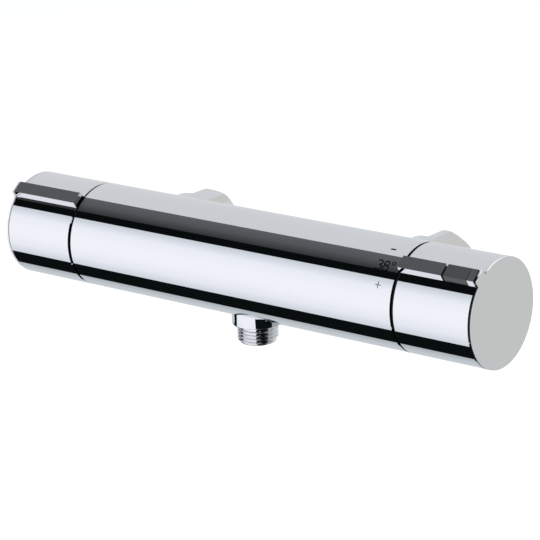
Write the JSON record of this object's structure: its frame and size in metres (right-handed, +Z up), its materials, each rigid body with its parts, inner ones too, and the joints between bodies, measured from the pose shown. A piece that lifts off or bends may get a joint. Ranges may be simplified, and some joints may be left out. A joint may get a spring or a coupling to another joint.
{
  "type": "shower mixer",
  "caption": "Chrome thermostatic bar shower mixer with a flow knob on the left, a temperature knob with a safety button on the right, a hose outlet below and two wall inlets behind.",
  "frame": {"origin": "midway between the two wall inlets, on the plane of their union nuts' wall ends", "axes": "+X along the bar towards the temperature knob, +Y into the wall, +Z up, so the hose outlet points along -Z"},
  "size_m": [0.2904, 0.088, 0.0673],
  "materials": {
    "chrome": "polished",
    "brass": "cast and machined",
    "copper": "drawn",
    "steel": "drawn",
    "rubber": "matte",
    "white_plastic": "moulded",
    "black_plastic": "moulded",
    "ceramic": "lapped",
    "satin_silver": "satin",
    "button_grey": "satin"
  },
  "bodies": {
    "mixer_body": {"body_shell": "chrome", "waterway": "brass", "centring_rings": "black_plastic", "left_glide_ring": "black_plastic", "right_glide_ring": "black_plastic", "left_tailpiece": "chrome", "right_tailpiece": "chrome", "left_gasket": "rubber", "right_gasket": "rubber", "left_filter": "steel", "right_filter": "steel", "left_check_cage": "white_plastic", "right_check_cage": "white_plastic", "left_check_spring": "steel", "right_check_spring": "steel", "tailpiece_o_rings": "rubber", "outlet_nipple": "chrome", "outlet_o_ring": "rubber", "thermostat_housing": "white_plastic", "thermostat_carrier": "white_plastic", "thermostat_nut": "brass", "thermostat_o_rings": "rubber", "return_spring": "steel", "temperature_stop_ring": "black_plastic", "flow_housing": "brass", "flow_o_rings": "rubber", "seat_seal": "rubber", "fixed_disc": "ceramic", "thrust_washer": "white_plastic", "flow_stop_ring": "black_plastic"},
    "left_nut": {"left_union_nut": "chrome"},
    "right_nut": {"right_union_nut": "chrome"},
    "left_poppet": {"left_check_poppet": "black_plastic"},
    "right_poppet": {"right_check_poppet": "black_plastic"},
    "temperature_handle": {"temperature_knob": "chrome", "temperature_end_cap": "satin_silver", "temperature_screw": "steel", "temperature_adapter": "white_plastic", "temperature_spindle": "brass", "spindle_seal": "rubber", "button_spring": "steel"},
    "button": {"safety_button": "button_grey"},
    "thermostat_slide": {"plunger": "brass", "overload_spring": "steel", "overload_cap": "brass", "spring_plate": "brass", "wax_element": "copper", "shuttle": "black_plastic"},
    "flow_handle": {"flow_knob": "chrome", "flow_end_cap": "satin_silver", "flow_screw": "steel", "flow_adapter": "white_plastic", "flow_spindle": "brass", "spindle_clip": "steel", "moving_disc": "ceramic"}
  },
  "joints": [
    {"name": "flow_turn", "type": "hinge", "parent": "mixer_body", "child": "flow_handle", "pos_m": [-0.11, -0.061, 0.003], "axis": [-1, 0, 0], "range_deg": [0, 90]},
    {"name": "temperature_turn", "type": "hinge", "parent": "mixer_body", "child": "temperature_handle", "pos_m": [0.11, -0.061, 0.003], "axis": [1, 0, 0], "range_deg": [-200, 50]},
    {"name": "thermostat_shift", "type": "slide", "parent": "mixer_body", "child": "thermostat_slide", "axis": [1, 0, 0], "range_m": [-0.00111, 0.00028], "deforming": ["return_spring"]},
    {"name": "safety_press", "type": "slide", "parent": "temperature_handle", "child": "button", "axis": [0, 0.6428, -0.766], "range_m": [0, 0.0022], "stiffness_N_per_m": 600, "springref_m": -0.002, "deforming": ["button_spring"]},
    {"name": "left_nut_turn", "type": "hinge", "parent": "mixer_body", "child": "left_nut", "pos_m": [-0.075, -0.01, 0], "axis": [0, 1, 0], "continuous": true},
    {"name": "right_nut_turn", "type": "hinge", "parent": "mixer_body", "child": "right_nut", "pos_m": [0.075, -0.01, 0], "axis": [0, 1, 0], "continuous": true},
    {"name": "left_check_open", "type": "slide", "parent": "mixer_body", "child": "left_poppet", "axis": [0, -1, 0], "range_m": [0, 0.004], "stiffness_N_per_m": 200, "springref_m": -0.002, "deforming": ["left_check_spring"]},
    {"name": "right_check_open", "type": "slide", "parent": "mixer_body", "child": "right_poppet", "axis": [0, -1, 0], "range_m": [0, 0.004], "stiffness_N_per_m": 200, "springref_m": -0.002, "deforming": ["right_check_spring"]}
  ],
  "couplings": [
    {"joint": "thermostat_shift", "follows": "temperature_turn", "m_per_rad": 0.00031831}
  ]
}
